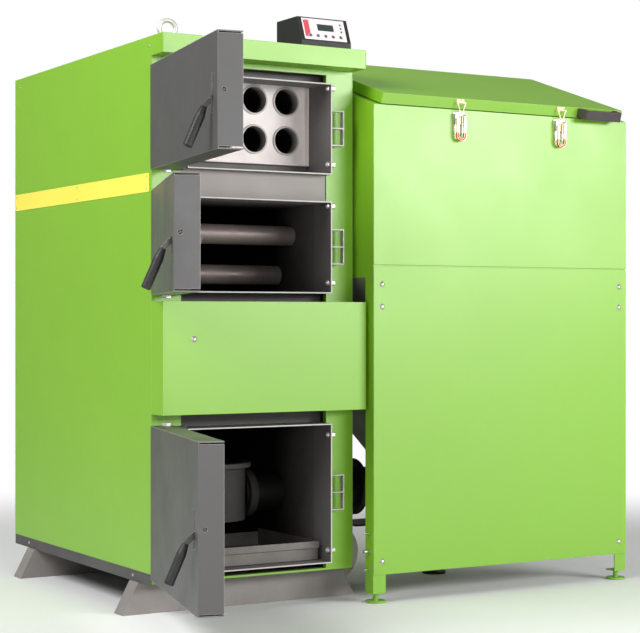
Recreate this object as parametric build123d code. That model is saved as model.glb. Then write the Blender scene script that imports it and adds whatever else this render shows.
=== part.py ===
from build123d import *
import math
import os

# Pellet boiler with three fire doors and a pellet hopper beside it, in millimetres.
# The origin is on the floor, in the boiler's middle plane, at the middle of the front foot.
# +X runs to the hopper, +Y to the back and +Z up. The doors stand open, as at rest.

# Boiler jacket
jacket_width = 680.0
jacket_depth = 1106.0
jacket_top = 1680.0
sheet = 2.0
frame_setback = 110.0
overhang = 79.0
skirt_height = 57.0
panel_bottom = 126.0
rail_bottom = 93.0
frame_bottom = 97.0
frame_strip = 6.0
frame_head = 16.0
frame_return = 18.0
burner_cover_bottom = 588.0
burner_cover_top = 914.0
band_bottom = 1231.0
band_height = 55.0
band_thick = 1.5
band_margin = 14.0
seam = 0.5

# Feet and rails
foot_depth = 61.0
foot_plate = 5.0
foot_splay = 49.0
foot_top_margin = 6.0
rear_foot_inset = 194.0
rail_plate = 4.0
rail_shelf = 66.0
rail_seat = 109.0

# Water vessel and fire chambers
vessel_half = 285.0
vessel_front_y = 54.0
vessel_back_y = 1040.0
vessel_top = 1612.0
vessel_plate = 5.0
front_plate = 6.0
neck_half = 243.0
neck_plate = 4.0
neck_reach = 40.0
neck_gap = 2.0
firebox_plate = 6.0
firebox_back_y = 860.0
bridge_bottom = 1221.0
bridge_plate = 3.0
chamber_top = 1600.0
tube_count = 4
tube_pitch = 111.0
tube_outer = 45.0
tube_wall = 5.0
tube_rows = (1412.0, 1532.0)
tube_stand = 4.0
tube_plate = 8.0
tube_plate_y = 112.0
tube_plate_bottom = 1334.0
tube_rim = 4.0
tube_rim_gap = 1.0
tube_rim_reach = 20.0
smoke_box = 90.0
cross_tube_radius = 31.0
cross_tube_wall = 4.0
cross_tubes_at = ((210.0, 1124.0), (300.0, 1002.0))
fit_gap = 0.2
flue_radius = 100.0
flue_wall = 4.0
flue_z = 1440.0
flue_reach = 74.0
stub_radius = 38.0
stub_wall = 4.0
stub_reach = 60.0
flow_z = 1540.0
return_z = 205.0
stub_x = 170.0

# Doors: name, bottom, top, rest opening, neck bottom, neck top, bolts from top and bottom
doors = (
    ("top", 1292.0, 1592.0, 100.0, 1300.0, 1577.0, 29.0, 40.0),
    ("middle", 932.0, 1232.0, 110.0, 940.0, 1219.0, 26.0, 41.0),
    ("bottom", 115.0, 557.0, 104.5, 123.0, 546.0, 46.0, 46.0),
)
door_lap = 174.0
door_depth = 68.0
door_plate = 3.0
door_flange_slit = 4.0
door_inset = 3.0
hinge_edge = 22.0
hinge_front = 43.0
hinge_side_flange = 30.0
board_margin = 4.0
board_side = 10.0
board_thick = 45.0
seal_width = 9.0
seal_gap = 0.3
lug_thick = 8.0
lug_boss = 12.0
lug_tab = 6.0
lug_gap = 1.0
hinge_bolt = 6.0
hinge_head = 12.0
hinge_clear = 0.05
head_gap = 0.3

# Door latch
lever_thick = 6.0
lever_arm = 7.0
lever_from_edge = 46.0
pivot_depth = 18.0
pivot_pin = 4.0
latch_turn = 15.0
grip_length = 112.0
grip_radius = 13.0
grip_chamfer = 4.0
grip_neck_radius = 8.4
grip_neck_length = 28.0
grip_lean = 23.5
grip_out = 21.5
grip_down = 39.5
spigot = 3.5
spigot_length = 60.0
slot_up = 45.0
slot_down = 54.0
slot_side = 1.5
edge_hole = 6.0
keeper_reach = 44.0
keeper_strip = 4.0
keeper_width = 16.0
keeper_height = 108.0
keeper_back = 22.0
hook_height = 12.0
hook_gap = 1.5
hook_nose = 8.0
bolt_radius = 4.0
bolt_head = 8.0
bolt_inner = 7.0
bolt_head_height = 6.0
bolt_reach = 15.0
bolt_inset = 15.0

# Ash drawer and burner
drawer_floor_gap = 2.0
drawer_slack = 0.3
drawer_height = 56.0
drawer_back_height = 44.0
drawer_depth = 385.0
drawer_front_y = 15.0
drawer_wall = 3.0
drawer_rim = 20.0
drawer_rim_reach = 8.0
drawer_side_gap = 14.0
feed_y = 310.0
feed_z = 312.0
feed_outer = 62.0
feed_wall = 4.0
pot_radius = 115.0
pot_wall = 8.0
pot_bottom = 236.0
pot_top = 415.0
auger_radius = 53.0
auger_shaft = 14.0
auger_pitch = 95.0
auger_flight = 6.0
inlet_wall = 10.0
feed_flange = 92.0
feed_flange_thick = 10.0
feed_flange_from_jacket = 175.0
motor_length = 230.0
motor_radius = 62.0
gearbox = 130.0
stand_x = 866.0
stand_radius = 40.0

# Blower under the feed tube
blower_x = 438.0
blower_z = 104.0
blower_radius = 94.0
blower_thick = 62.0
blower_wall = 3.0
duct_width = 60.0
impeller_radius = 74.0
impeller_thick = 40.0
impeller_blades = 16
blower_shaft = 6.0

# Controller
controller_x = 206.0
controller_width = 171.0
controller_depth = 155.0
controller_height = 91.0
controller_set = 9.0
controller_lip = 17.0
controller_slope_run = 29.0
face_margin = 12.0
face_thick = 1.5

# Lifting eyes
eye_hole = 17.5
eye_wire = 7.0
eye_base = 17.5
eye_base_height = 8.0
eye_shank = 8.0
eye_turn = 12.0
eye_bracket = 12.0
eye_x = 273.0
eye_y = 34.0

# Hopper
hopper_gap = 8.0
hopper_width = 987.0
hopper_depth = 600.0
hopper_lead = 110.0
hopper_front_top = 1515.0
hopper_slope = 18.3
hopper_split = 1028.0
hopper_sheet = 3.0
panel_low = 86.0
panel_fold = 20.0
panel_groove = 5.0
rim_side = 40.0
rim_neck = 14.0
funnel_top = 990.0
funnel_bottom = 400.0
funnel_front_z = 800.0
funnel_back_z = 545.0
outlet_left = 388.0
outlet_length = 176.0
outlet_depth = 130.0
leg_width = 45.0
leg_plate = 4.0
leg_disc = 31.0
leg_disc_height = 6.0
leg_screw = 8.0
leg_screw_height = 22.0

# Hopper lid, handle and latches
lid_inset = 25.0
lid_lift = 3.0
lid_skirt = 33.5
lid_sheet = 2.5
lid_length = 516.0
lid_hinge_back = 8.0
lid_hinge_drop = 8.0
lid_pin = 4.0
lid_ear = 5.0
hinge_half = 22.0
hinge_inset = 150.0
handle_from_right = 130.0
handle_width = 160.0
handle_taper = 6.0
handle_leg = 16.0
handle_thick = 14.0
handle_reach = 42.0
handle_bar = 30.0
latch_places = (312.0, 706.0)
latch_half = 22.0
latch_low = 75.0
latch_high = 8.0
latch_plate = 3.0
latch_ear_half = 20.5
latch_ear = 2.5
latch_pivot_down = 23.0
latch_pivot_out = 10.0
latch_pin = 2.5
lever_side_gap = 1.0
lever_rail = 7.0
lever_deep = 9.0
lever_top_down = 4.0
lever_length = 76.0
bail_drop = 22.0
bail_out = 5.0
bail_wire = 2.0
bail_low_half = 4.0
bail_top_half = 15.5
bail_knee = 12.0
bail_gap = 0.5
catch_plate = 2.0
catch_lip = 5.0
catch_lip_thick = 3.0
catch_lip_half = 12.0
catch_lip_from_top = 10.0
catch_half = 15.0
catch_under = 6.0
catch_over = 9.0

# Small fasteners
screw_head = 5.0
screw_height = 2.0
dome_head = 9.0
dome_height = 5.0
stud_reach = 20.0
stud_heights = (211.0, 156.0, 101.0)

# Derived places
half = jacket_width / 2
front = -frame_setback
back = front + jacket_depth
inner_half = half - sheet
cover_under = jacket_top - skirt_height
cover_front = front - overhang
opening_half = neck_half + neck_gap
door_width = 2 * neck_half + door_lap
hopper_left = half + hopper_gap
hopper_right = hopper_left + hopper_width
hopper_front = front - hopper_lead
hopper_back = hopper_front + hopper_depth
slope_run = (jacket_top - hopper_front_top) / math.tan(math.radians(hopper_slope))
hinge_x = -half + door_inset + hinge_edge
hinge_y = front - neck_reach - 10.0
feed_axis_y = front + feed_y
outlet_x = hopper_left + outlet_left
lid_frame = Pos(0, hopper_front, hopper_front_top) * Rot(hopper_slope, 0, 0)
lid_hinge_u = lid_length + lid_hinge_back
lid_hinge_w = lid_lift + lid_skirt - lid_hinge_drop


def block(x0, x1, y0, y1, z0, z1):
    """Box between two corners."""
    size = Box(x1 - x0, y1 - y0, z1 - z0)
    return Pos((x0 + x1) / 2, (y0 + y1) / 2, (z0 + z1) / 2) * size


def rod(radius, start, end):
    """Round bar from one point to another."""
    a = Vector(*start)
    b = Vector(*end)
    plane = Plane(origin=a, z_dir=(b - a).normalized())
    return extrude(plane * Circle(radius), (b - a).length)


def tube(outer, wall, start, end):
    """Round tube from one point to another."""
    return rod(outer, start, end) - rod(outer - wall, start, end)


def side_prism(points, x0, x1):
    """Outline of (y, z) points, drawn out along X."""
    face = make_face(Polyline(*[(x0, y, z) for y, z in points], close=True))
    return extrude(face, x1 - x0, dir=(1, 0, 0))


def front_prism(points, y0, y1):
    """Outline of (x, z) points, drawn out along Y."""
    face = make_face(Polyline(*[(x, y0, z) for x, z in points], close=True))
    return extrude(face, y1 - y0, dir=(0, 1, 0))


def ring_frame(x0, x1, y0, y1, z0, z1, wall):
    """Rectangular frame whose opening faces along Y."""
    outer = block(x0, x1, y0, y1, z0, z1)
    return outer - block(x0 + wall, x1 - wall, y0, y1, z0 + wall, z1 - wall)


def hexagon(size, start, end):
    """Hexagon bar across its flats, from one point to another."""
    a = Vector(*start)
    b = Vector(*end)
    plane = Plane(origin=a, z_dir=(b - a).normalized())
    return extrude(plane * RegularPolygon(size, 6, major_radius=False), (b - a).length)


def turned(point, angle):
    """A (y, z) point turned about the origin."""
    c = math.cos(math.radians(angle))
    s = math.sin(math.radians(angle))
    return (point[0] * c - point[1] * s, point[0] * s + point[1] * c)


def save(name, shape):
    """Write one node."""
    solids = shape.solids()
    part = solids[0] if len(solids) == 1 else Compound(children=list(solids))
    export_step(part, os.path.join("parts", name + ".step"))


def group(shapes):
    """Separate solids kept apart in one node."""
    solids = []
    for shape in shapes:
        solids.extend(shape.solids())
    return Compound(children=solids)


# Vessel, chambers and tubes

def vessel_shell():
    """Outer walls of the water jacket as five welded plates, open at the front."""
    y0 = front + vessel_front_y + front_plate
    y1 = front + vessel_back_y
    z0 = rail_seat
    p = vessel_plate
    x = vessel_half
    rear = block(-x, x, y1 - p, y1, z0, vessel_top)
    rear -= rod(flue_radius - flue_wall, (0, y1 - 20, flue_z), (0, y1 + 1, flue_z))
    for sx, z in ((stub_x, flow_z), (-stub_x, return_z)):
        rear -= rod(stub_radius - stub_wall, (sx, y1 - 20, z), (sx, y1 + 1, z))
    top = block(-x, x, y0, y1 - p, vessel_top - p, vessel_top)
    for ex, ey in eye_places():
        top -= rod(eye_shank, (ex, ey, vessel_top - 2 * p), (ex, ey, vessel_top + 1))
    low = block(-x, x, y0, y1 - p, z0, z0 + p)
    left = block(-x, -x + p, y0, y1 - p, z0 + p, vessel_top - p)
    right = block(x - p, x, y0, y1 - p, z0 + p, vessel_top - p)
    right -= rod(feed_outer + fit_gap, (0, feed_axis_y, feed_z), (half, feed_axis_y, feed_z))
    return group([rear, top, low, left, right])


def welded_frame(x, y0, y1, z0, z1, w):
    """Four plates around an opening that faces along Y. The side plates run the full height."""
    return [block(-x, -x + w, y0, y1, z0, z1), block(x - w, x, y0, y1, z0, z1),
            block(-x + w, x - w, y0, y1, z0, z0 + w), block(-x + w, x - w, y0, y1, z1 - w, z1)]


def vessel_front():
    """Front wall of the vessel, the three door necks, the turning chamber and the plate between two necks."""
    y0 = front + vessel_front_y
    y1 = y0 + front_plate
    yn = front - neck_reach
    yt = front + tube_plate_y
    x = neck_half
    w = neck_plate
    plates = [block(-vessel_half, -x, y0, y1, rail_seat, vessel_top),
              block(x, vessel_half, y0, y1, rail_seat, vessel_top)]
    low_edge = rail_seat
    for name, low, high, angle, neck_low, neck_high, bolt_top, bolt_low in reversed(doors):
        plates.append(block(-x, x, y0, y1, low_edge, neck_low))
        low_edge = neck_high
        y = yn + bolt_inset
        for i, plate in enumerate(welded_frame(x, yn, y1, neck_low, neck_high, w)):
            if i < 2:
                for z in (high - bolt_top, low + bolt_low):
                    plate -= rod(bolt_radius + hinge_clear, (-half, y, z), (half, y, z))
            plates.append(plate)
    plates.append(block(-x, x, y0, y1, low_edge, vessel_top))
    plates.append(block(-x, x, front + sheet, front + sheet + bridge_plate, bridge_bottom, doors[0][4]))
    plates.extend(welded_frame(x, y1, yt, doors[0][4], chamber_top, w))
    plates.append(block(-x + w, x - w, yt - w, yt, doors[0][4] + w, tube_plate_bottom))
    ex, ey = eye_places()[0]
    bracket = block(ex - eye_base, ex + eye_base, ey - eye_base, y0, vessel_top - eye_bracket, vessel_top)
    plates.append(bracket - rod(eye_shank, (ex, ey, vessel_top - eye_bracket - 1), (ex, ey, vessel_top + 1)))
    return group(plates)


def firebox():
    """Inner steel box that holds the middle and bottom fire chambers."""
    x = neck_half - neck_plate
    outer_x = x + firebox_plate
    y0 = front + vessel_front_y + front_plate
    y1 = front + firebox_back_y
    z0 = doors[2][4] + neck_plate - firebox_plate
    z1 = doors[1][5] - neck_plate
    outer = block(-outer_x, outer_x, y0, y1, z0, z1 + firebox_plate)
    box = outer - block(-x, x, y0, y1 - firebox_plate, z0 + firebox_plate, z1)
    for y, z in cross_tubes_at:
        box -= rod(cross_tube_radius + fit_gap, (-half, front + y, z), (half, front + y, z))
    box -= rod(feed_outer + fit_gap, (0, feed_axis_y, feed_z), (half, feed_axis_y, feed_z))
    return box


def tube_positions():
    """Centres of the fire tubes."""
    first = -tube_pitch * (tube_count - 1) / 2
    return [(first + i * tube_pitch, z) for z in tube_rows for i in range(tube_count)]


def rear_plate_y():
    """Front face of the rear tube plate."""
    return front + vessel_back_y - vessel_plate - smoke_box - tube_plate


def tube_plates():
    """Front and rear tube plates. The front one has a rim turned forward."""
    x = neck_half
    y = front + tube_plate_y
    plate = block(-x, x, y, y + tube_plate, tube_plate_bottom, chamber_top)
    rim_x = neck_half - neck_plate - tube_rim_gap
    rim_top = chamber_top - neck_plate - tube_rim_gap
    rim_low = tube_plate_bottom + tube_rim_gap
    plate += ring_frame(-rim_x, rim_x, y - tube_rim_reach, y, rim_low, rim_top, tube_rim)
    side = vessel_half - vessel_plate
    rear = block(-side, side, rear_plate_y(), rear_plate_y() + tube_plate,
                 tube_plate_bottom, vessel_top - vessel_plate)
    shelf = block(-side, side, rear_plate_y() + tube_plate, front + vessel_back_y - vessel_plate,
                  tube_plate_bottom, tube_plate_bottom + tube_plate)
    rear += shelf
    plates = []
    for solid in (plate, rear):
        for px, pz in tube_positions():
            solid -= rod(tube_outer + fit_gap, (px, front, pz), (px, back, pz))
        plates.append(solid)
    return group(plates)


def fire_tubes():
    """Smoke tubes from the turning chamber to the smoke box."""
    y0 = front + tube_plate_y - tube_stand
    y1 = rear_plate_y() + tube_plate + tube_stand
    return group([tube(tube_outer, tube_wall, (x, y0, z), (x, y1, z)) for x, z in tube_positions()])


def cross_tubes():
    """Water tubes across the middle chamber."""
    x = vessel_half - vessel_plate
    pipes = []
    for y, z in cross_tubes_at:
        pipes.append(tube(cross_tube_radius, cross_tube_wall, (-x, front + y, z), (x, front + y, z)))
    return group(pipes)


def flue_outlet():
    """Smoke pipe collar at the back."""
    y0 = front + vessel_back_y
    pipe = tube(flue_radius, flue_wall, (0, y0, flue_z), (0, back + flue_reach, flue_z))
    collar = tube(flue_radius + 14, 14, (0, y0, flue_z), (0, y0 + flue_wall, flue_z))
    return pipe + collar


def water_stubs():
    """Flow and return pipe stubs at the back."""
    y0 = front + vessel_back_y
    pipes = []
    for x, z in ((stub_x, flow_z), (-stub_x, return_z)):
        pipes.append(tube(stub_radius, stub_wall, (x, y0, z), (x, back + stub_reach, z)))
    return group(pipes)


# Jacket

def side_panel(sign):
    """Side sheet with a forward arm beside the top cover and folds at its back and foot."""
    outline = [(front, panel_bottom), (back, panel_bottom), (back, jacket_top), (cover_front, jacket_top),
               (cover_front, cover_under), (front, cover_under)]
    x0 = -half if sign < 0 else inner_half
    panel = side_prism(outline, x0, x0 + sheet)
    fold = 16.0
    a = -inner_half if sign < 0 else inner_half - fold
    panel += block(a, a + fold, front + 40, back - 40, panel_bottom, panel_bottom + sheet)
    if sign > 0:
        panel -= rod(feed_outer + 3, (half - 5, feed_axis_y, feed_z), (half + 1, feed_axis_y, feed_z))
    return panel


def top_cover():
    """Top cover: plate, front skirt and the soffit under its overhang."""
    x = inner_half
    cover = block(-x, x, cover_front, back, jacket_top - sheet, jacket_top)
    cover += block(-x, x, cover_front, cover_front + sheet, cover_under, jacket_top)
    cover += block(-x, x, cover_front, front + sheet, cover_under, cover_under + sheet)
    for ex, ey in eye_places():
        cover -= rod(eye_shank + 1, (ex, ey, jacket_top - 5), (ex, ey, jacket_top + 1))
    return cover


def rear_panel():
    """Back sheet with holes for the flue and the water stubs."""
    panel = block(-inner_half, inner_half, back - sheet, back, panel_bottom, jacket_top - sheet)
    panel -= rod(flue_radius + 4, (0, back - 9, flue_z), (0, back + 1, flue_z))
    for x, z in ((stub_x, flow_z), (-stub_x, return_z)):
        panel -= rod(stub_radius + 4, (x, back - 9, z), (x, back + 1, z))
    return panel


def front_frame():
    """Front sheet with one tall opening and returns around it."""
    frame = block(-inner_half, inner_half, front, front + sheet, frame_bottom, cover_under)
    low = frame_bottom + frame_strip
    high = cover_under - frame_head
    frame += block(-opening_half - sheet, opening_half + sheet, front, front + frame_return,
                   low - sheet, high + sheet)
    frame -= block(-opening_half, opening_half, front - 1, front + frame_return + 1, low, high)
    return frame


def burner_cover():
    """Box shaped cover between the middle and bottom doors."""
    cover = block(-half, half, cover_front, front, burner_cover_bottom, burner_cover_top)
    cover -= block(-half + sheet, half - sheet, cover_front + sheet, front,
                   burner_cover_bottom + sheet, burner_cover_top - sheet)
    return cover


def side_band():
    """Plain flat trim strip along the left side."""
    return block(-half - band_thick, -half, front + band_margin, back - band_thick,
                 band_bottom, band_bottom + band_height)


# Feet and rails

def base_rails():
    """Two angle rails under the vessel."""
    rails = []
    for sign in (-1, 1):
        x0, x1 = sorted((sign * half, sign * (half - rail_plate)))
        rail = block(x0, x1, front + sheet, back - sheet, rail_bottom, panel_bottom)
        s0, s1 = sorted((sign * half, sign * (half - rail_shelf)))
        rail += block(s0, s1, front + sheet, back - sheet, rail_seat - rail_plate, rail_seat)
        rails.append(rail)
    return group(rails)


def foot(y0):
    """Pressed foot: a splayed plate with edges turned back, open behind."""
    top = half + foot_top_margin
    low = top + foot_splay
    p = foot_plate
    slant = foot_splay / rail_bottom
    outline = [(-low, 0), (low, 0), (top, rail_bottom), (-top, rail_bottom)]
    inner = [(-low + slant * p + 1.15 * p, p), (low - slant * p - 1.15 * p, p),
             (top + slant * p - 1.15 * p, rail_bottom - p), (-top - slant * p + 1.15 * p, rail_bottom - p)]
    shape = front_prism(outline, y0, y0 + foot_depth)
    return shape - front_prism(inner, y0 + p, y0 + foot_depth)


def eye_places():
    """Places of the two lifting eyes."""
    return ((-eye_x, front + eye_y), (eye_x, back - 3 * eye_y))


def lifting_eyes():
    """Ring bolts through the cover into the vessel's top."""
    eyes = []
    for x, y in eye_places():
        ring = eye_hole + eye_wire
        centre = jacket_top + eye_base_height + ring - 2
        eye = Pos(x, y, centre) * Rot(0, 0, -eye_turn) * Rot(90, 0, 0) * Torus(ring, eye_wire)
        eye += rod(eye_base, (x, y, jacket_top), (x, y, jacket_top + eye_base_height))
        eye += rod(eye_shank, (x, y, vessel_top - vessel_plate), (x, y, jacket_top))
        eyes.append(eye)
    return group(eyes)


# Doors. Each is built shut, about its hinge axis, then turned to its rest opening.

def door_place(angle):
    """From a door's own frame to its place at rest."""
    return Pos(hinge_x, hinge_y, 0) * Rot(0, 0, -angle)


def lever_x():
    """Middle of the latch lever in the door's own frame."""
    return door_width - hinge_edge - lever_from_edge


def door_skin(low, high):
    """Door pan: front plate, top, bottom and free edge flanges, and bearing ears for the latch."""
    x0 = -hinge_edge
    x1 = door_width - hinge_edge
    y0 = -hinge_front
    y1 = door_depth - hinge_front
    t = door_plate
    mid = (low + high) / 2
    pan = block(x0, x1, y0, y0 + t, low, high)
    for z in (low, high - t):
        flange = block(x0, x1, y0, y1, z, z + t)
        corner = [(x0, y1), (x0 + 14, y1), (x0, y1 - 14)]
        cut = extrude(make_face(Polyline(*[(x, y, z) for x, y in corner], close=True)), t)
        flange -= cut
        flange -= rod(hinge_bolt + hinge_clear, (0, 0, z - 1), (0, 0, z + t + 1))
        pan += flange
    slit = t + door_flange_slit
    pan += block(x1 - t, x1, y0, y1, low + slit, high - slit)
    pan += block(x0, x0 + t, y0, y0 + hinge_side_flange, low, high)
    px = lever_x()
    py = y0 + pivot_depth
    for side in (-1, 1):
        a, b = sorted((px + side * 14, px + side * 20))
        pan += block(a, b, y0 + t, py + 12, mid - 14, mid + 14)
    pan -= rod(pivot_pin + hinge_clear, (px - 21, py, mid), (px + 21, py, mid))
    pan -= rod(edge_hole, (x1 - t - 1, py, mid), (x1 + 1, py, mid))
    pan -= block(px - lever_thick / 2 - slot_side, px + lever_thick / 2 + slot_side, y0 - 1, y0 + t + 1,
                 mid - slot_down, mid + slot_up)
    outer_edges = pan.edges().filter_by(Axis.Z).group_by(Axis.Y)[0]
    return fillet(outer_edges, t * 0.8)


def board_span():
    """Low and high X of the insulation board in the door's own frame."""
    left = -half - hinge_x + (half - neck_half) - board_side
    return left, left + 2 * neck_half + 2 * board_side


def door_board(low, high):
    """Fire resistant board that fills the pan behind the neck."""
    x0, x1 = board_span()
    y0 = -hinge_front + door_plate
    z0 = low + board_margin
    z1 = high - board_margin
    board = block(x0, x1, y0, y0 + board_thick, z0, z1)
    rim = board.faces().sort_by(Axis.Y)[-1].edges()
    return chamfer(rim, 1.5)


def door_seal(neck_low, neck_high):
    """Rope seal that lands on the neck's front edge."""
    x0, x1 = board_span()
    left = x0 + board_side + neck_plate / 2
    right = x1 - board_side - neck_plate / 2
    z0 = neck_low + neck_plate / 2
    z1 = neck_high - neck_plate / 2
    y0 = -hinge_front + door_plate + board_thick
    y1 = front - neck_reach - hinge_y - seal_gap
    w = seal_width / 2
    return ring_frame(left - w, right + w, y0, y1, z0 - w, z1 + w, seal_width)


def door_lever(low, high):
    """Latch lever with its pivot pin and its hook, in the unlatched pose."""
    mid = (low + high) / 2
    px = lever_x()
    py = -hinge_front + pivot_depth
    t = lever_thick / 2
    bar_back = front - keeper_back - hinge_y - py
    top = -keeper_strip / 2 - hook_gap
    shape = [(-6, -6), (0, top), (bar_back + hook_gap, top), (bar_back + hook_gap, top + hook_nose),
             (bar_back + hook_gap + 7, top + hook_nose), (bar_back + hook_gap + 7, top - hook_height + 4),
             (bar_back + hook_gap + 3, top - hook_height), (0, top - hook_height)]
    points = [turned(p, -latch_turn) for p in shape]
    lever = side_prism([(py + y, mid + z) for y, z in points], px - t, px + t)
    ty, tz = grip_start()
    length = math.hypot(ty, tz)
    ny, nz = -tz / length * lever_arm, ty / length * lever_arm
    uy, uz = ty * 1.2, tz * 1.2
    arm = [(ny, nz), (uy + ny, uz + nz), (uy - ny, uz - nz), (-ny, -nz)]
    lever += side_prism([(py + y, mid + z) for y, z in arm], px - t, px + t)
    lever += rod(lever_arm + 3, (px - t, py, mid), (px + t, py, mid))
    ay, az = grip_way()
    tip = (py + ty, mid + tz)
    lever -= rod(grip_length, (px, *tip), (px, tip[0] + ay * 30, tip[1] + az * 30))
    lever += rod(spigot, (px, *tip), (px, tip[0] + ay * spigot_length, tip[1] + az * spigot_length))
    lever += rod(pivot_pin, (px - 21, py, mid), (px + lever_from_edge - door_plate / 2, py, mid))
    return lever


def grip_start():
    """Where the grip begins, from the pivot."""
    return (-pivot_depth - grip_out, -grip_down)


def grip_way():
    """Direction of the grip, outwards and down."""
    a = math.radians(grip_lean)
    return (-math.sin(a), -math.cos(a))


def door_grip(low, high):
    """Moulded grip on the lever's end."""
    mid = (low + high) / 2
    px = lever_x()
    py = -hinge_front + pivot_depth
    ty, tz = grip_start()
    ay, az = grip_way()
    plane = Plane(origin=(px, py + ty, mid + tz), x_dir=(1, 0, 0), z_dir=(0, ay, az))
    r = grip_radius
    n = grip_length
    c = grip_chamfer
    profile = [(0, 0), (grip_neck_radius, 0), (r, grip_neck_length), (r, n - c), (r - c, n), (0, n)]
    face = make_face(Plane.XZ * Polyline(*profile, close=True))
    body = revolve(face, Axis.Z)
    body -= rod(spigot + fit_gap, (0, 0, -1), (0, 0, spigot_length + 1))
    return plane.location * body


def hinge_lugs():
    """Hinge plates bolted to the left wall of each neck, two for each door."""
    lugs = []
    edge = -neck_half - hinge_x
    y_near = 14.0
    y_far = -hinge_y + front - 4
    for name, low, high, angle, neck_low, neck_high, bolt_top, bolt_low in doors:
        t = door_plate + lug_gap
        spans = ((high - t - lug_thick, high - t, high - bolt_top - 12, high - t),
                 (low + t, low + t + lug_thick, low + t, low + bolt_low + 12))
        for z0, z1, tab0, tab1 in spans:
            outline = [(0, -lug_boss), (edge - lug_tab - 6, y_near), (edge, y_near), (edge, y_far),
                       (edge - 30, y_far), (0, lug_boss)]
            plate = extrude(make_face(Polyline(*[(x, y, z0) for x, y in outline], close=True)), lug_thick)
            plate += rod(lug_boss, (0, 0, z0), (0, 0, z1))
            plate += block(edge - lug_tab, edge, y_near, y_far, tab0, tab1)
            plate -= rod(hinge_bolt, (0, 0, z0 - 1), (0, 0, z1 + 1))
            bolt_z = high - bolt_top if z0 > (low + high) / 2 else low + bolt_low
            y = front - neck_reach + bolt_inset - hinge_y
            plate -= rod(bolt_radius, (edge - 20, y, bolt_z), (edge + 1, y, bolt_z))
            lugs.append(Pos(hinge_x, hinge_y, 0) * plate)
    return group(lugs)


def keepers():
    """Latch keepers: bent strips with a middle bar, on the right wall of each neck."""
    parts = []
    for name, low, high, angle, neck_low, neck_high, bolt_top, bolt_low in doors:
        mid = (low + high) / 2
        y1 = front - keeper_back
        y0 = y1 - keeper_width
        x1 = neck_half + keeper_reach
        h = keeper_height / 2
        frame = ring_frame(neck_half, x1, y0, y1, mid - h, mid + h, keeper_strip)
        frame -= block(neck_half + 1.5, neck_half + keeper_strip, y0, y1,
                       mid - h + keeper_strip, mid + h - keeper_strip)
        frame += block(neck_half, x1 - keeper_strip, y0, y1,
                       mid - keeper_strip / 2, mid + keeper_strip / 2)
        parts.append(frame)
    return group(parts)


def collar_bolts():
    """Hinge bolts and the cross bolts of the three necks."""
    bolts = []
    y = front - neck_reach + bolt_inset
    for name, low, high, angle, neck_low, neck_high, bolt_top, bolt_low in doors:
        t = door_plate + lug_gap + lug_thick
        for way, z in ((1, high), (-1, low)):
            bolt = rod(hinge_bolt, (hinge_x, hinge_y, z + way * head_gap), (hinge_x, hinge_y, z - way * t))
            head_z = z + way * head_gap
            bolt += hexagon(hinge_head, (hinge_x, hinge_y, head_z), (hinge_x, hinge_y, head_z + way * 8.0))
            bolts.append(bolt)
        for z in (high - bolt_top, low + bolt_low):
            for sign in (-1, 1):
                outside = neck_half + (lug_tab if sign < 0 else 0)
                inside = neck_half - neck_plate
                bolt = rod(bolt_radius, (sign * outside, y, z), (sign * (inside - 9), y, z))
                bolt += hexagon(bolt_head, (sign * outside, y, z), (sign * (outside + bolt_reach), y, z))
                bolt += hexagon(bolt_inner, (sign * inside, y, z), (sign * (inside - bolt_head_height), y, z))
                bolts.append(bolt)
    return group(bolts)


# Ash drawer and burner

def ash_drawer():
    """Ash tray with a turned lip at the front, that slides out forward."""
    x = neck_half - neck_plate - drawer_side_gap
    floor = doors[2][4] + neck_plate
    z0 = floor + drawer_floor_gap
    y0 = front + drawer_front_y
    y1 = y0 + drawer_depth
    w = drawer_wall
    tray = block(-x, x, y0, y1, z0, z0 + drawer_height)
    tray -= block(-x + w, x - w, y0 + w, y1 - w, z0 + w, z0 + drawer_height)
    tray -= block(-x - 1, x + 1, y1 - w - 1, y1 + 1, z0 + drawer_back_height, z0 + drawer_height + 1)
    tray += block(-x, x, y0 - drawer_rim_reach, y0, z0 + drawer_height - drawer_rim, z0 + drawer_height)
    for sign in (-1, 1):
        a, b = sorted((sign * (x - 20), sign * (x - 60)))
        tray += block(a, b, y0 + 20, y1 - 20, floor + drawer_slack, z0)
    return tray


def burner_pot():
    """Retort burner: a round pot with a fire rim, fed from its side."""
    c = (0, feed_axis_y)
    pot = tube(pot_radius, pot_wall, (*c, pot_bottom), (*c, pot_top))
    pot += rod(pot_radius, (*c, pot_bottom), (*c, pot_bottom + pot_wall))
    pot += tube(pot_radius + 18, 26, (*c, pot_top - 14), (*c, pot_top))
    start = (0, feed_axis_y, feed_z)
    pot -= rod(feed_outer + fit_gap, start, (pot_radius + 30, feed_axis_y, feed_z))
    pot += tube(feed_outer + 14, 14 - fit_gap, (pot_radius - 1, feed_axis_y, feed_z),
                (pot_radius + 24, feed_axis_y, feed_z))
    return pot


def feeder_end():
    """X of the feed tube's outer end."""
    return outlet_x + outlet_length / 2 + inlet_wall + 60


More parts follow.
